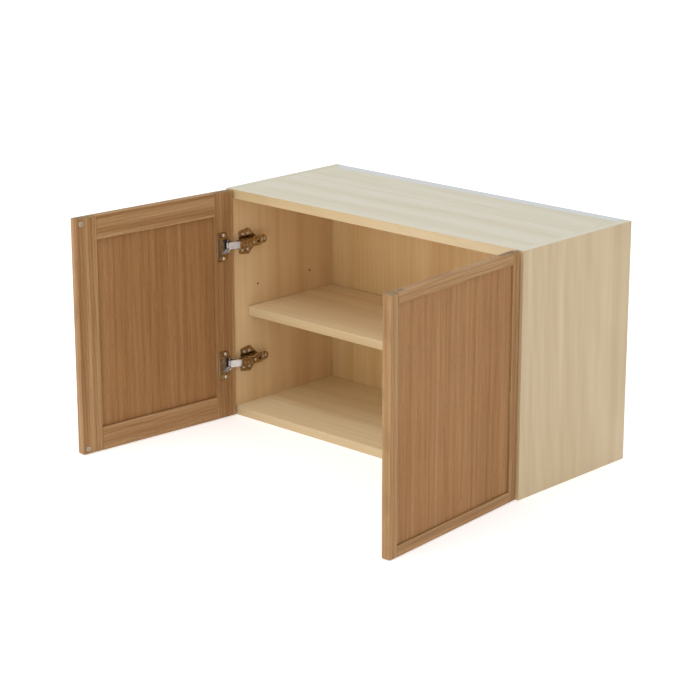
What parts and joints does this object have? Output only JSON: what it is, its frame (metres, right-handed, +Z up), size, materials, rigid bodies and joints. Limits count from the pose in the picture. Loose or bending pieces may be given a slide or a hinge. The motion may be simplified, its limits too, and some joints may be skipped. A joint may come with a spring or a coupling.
{
  "type": "hanging wall cabinet",
  "caption": "Hanging wall cabinet with framed wooden doors that swing open on concealed cup hinges, over an adjustable shelf.",
  "frame": {"origin": "middle of the upper hanging batten's rear face, which lies on the wall", "axes": "+X to the right along the cabinet's width, +Y into the wall, +Z up; the doors face -Y and stand open at rest"},
  "size_m": [0.8152, 0.7008, 0.47],
  "materials": {
    "maple_board": "satin maple-print melamine with a darker edge band",
    "maple_back": "satin maple-print melamine",
    "batten": "matte pale melamine",
    "beech": "raw turned beech",
    "door_frame": "satin stained oak",
    "door_panel": "satin stained oak veneer with vertical grain",
    "nickel": "nickel plated pressed steel",
    "steel": "bright steel",
    "bumper": "clear soft plastic"
  },
  "bodies": {
    "carcass": {"top_panel": "maple_board", "bottom_panel": "maple_board", "side_panel_left": "maple_board", "side_panel_right": "maple_board", "back_panel": "maple_back", "hanging_batten_upper": "batten", "hanging_batten_lower": "batten", "dowel_bottom_front_left": "beech", "dowel_bottom_rear_left": "beech", "dowel_top_front_left": "beech", "dowel_top_rear_left": "beech", "dowel_bottom_front_right": "beech", "dowel_bottom_rear_right": "beech", "dowel_top_front_right": "beech", "dowel_top_rear_right": "beech", "shelf_pin_front_left": "steel", "shelf_pin_rear_left": "steel", "shelf_pin_front_right": "steel", "shelf_pin_rear_right": "steel", "mounting_plate_lower_left": "nickel", "mounting_plate_upper_left": "nickel", "mounting_plate_lower_right": "nickel", "mounting_plate_upper_right": "nickel", "hinge_arm_lower_left": "nickel", "hinge_arm_upper_left": "nickel", "hinge_arm_lower_right": "nickel", "hinge_arm_upper_right": "nickel", "arm_pin_lower_left": "steel", "arm_pin_upper_left": "steel", "arm_pin_lower_right": "steel", "arm_pin_upper_right": "steel"},
    "shelf": {"shelf": "maple_board"},
    "left_links": {"hinge_link_lower_left": "steel", "hinge_link_upper_left": "steel"},
    "left_door": {"door_stile_hinge_left": "door_frame", "door_stile_free_left": "door_frame", "door_rail_lower_left": "door_frame", "door_rail_upper_left": "door_frame", "door_panel_left": "door_panel", "bumper_lower_left": "bumper", "bumper_upper_left": "bumper", "hinge_cup_lower_left": "nickel", "hinge_cup_upper_left": "nickel", "cup_pin_lower_left": "steel", "cup_pin_upper_left": "steel"},
    "right_links": {"hinge_link_lower_right": "steel", "hinge_link_upper_right": "steel"},
    "right_door": {"door_stile_hinge_right": "door_frame", "door_stile_free_right": "door_frame", "door_rail_lower_right": "door_frame", "door_rail_upper_right": "door_frame", "door_panel_right": "door_panel", "bumper_lower_right": "bumper", "bumper_upper_right": "bumper", "hinge_cup_lower_right": "nickel", "hinge_cup_upper_right": "nickel", "cup_pin_lower_right": "steel", "cup_pin_upper_right": "steel"}
  },
  "joints": [
    {"name": "left_link_swing", "type": "hinge", "parent": "carcass", "child": "left_links", "pos_m": [-0.347, -0.316, -0.195], "axis": [0, 0, 1], "range_deg": [-22.5, 3]},
    {"name": "left_door_swing", "type": "hinge", "parent": "left_links", "child": "left_door", "pos_m": [-0.36263, -0.33472, -0.195], "axis": [0, 0, 1], "range_deg": [-12.3, 117]},
    {"name": "right_link_swing", "type": "hinge", "parent": "carcass", "child": "right_links", "pos_m": [0.347, -0.316, -0.195], "axis": [0, 0, -1], "range_deg": [-22.5, 3]},
    {"name": "right_door_swing", "type": "hinge", "parent": "right_links", "child": "right_door", "pos_m": [0.36263, -0.33472, -0.195], "axis": [0, 0, -1], "range_deg": [-12.3, 117]},
    {"name": "shelf_lift", "type": "slide", "parent": "carcass", "child": "shelf", "axis": [0, 0, 1], "range_m": [0, 0.064]}
  ],
  "couplings": [
    {"joint": "left_link_swing", "follows": "left_door_swing", "ratio": -0.18803},
    {"joint": "right_link_swing", "follows": "right_door_swing", "ratio": -0.18803}
  ]
}
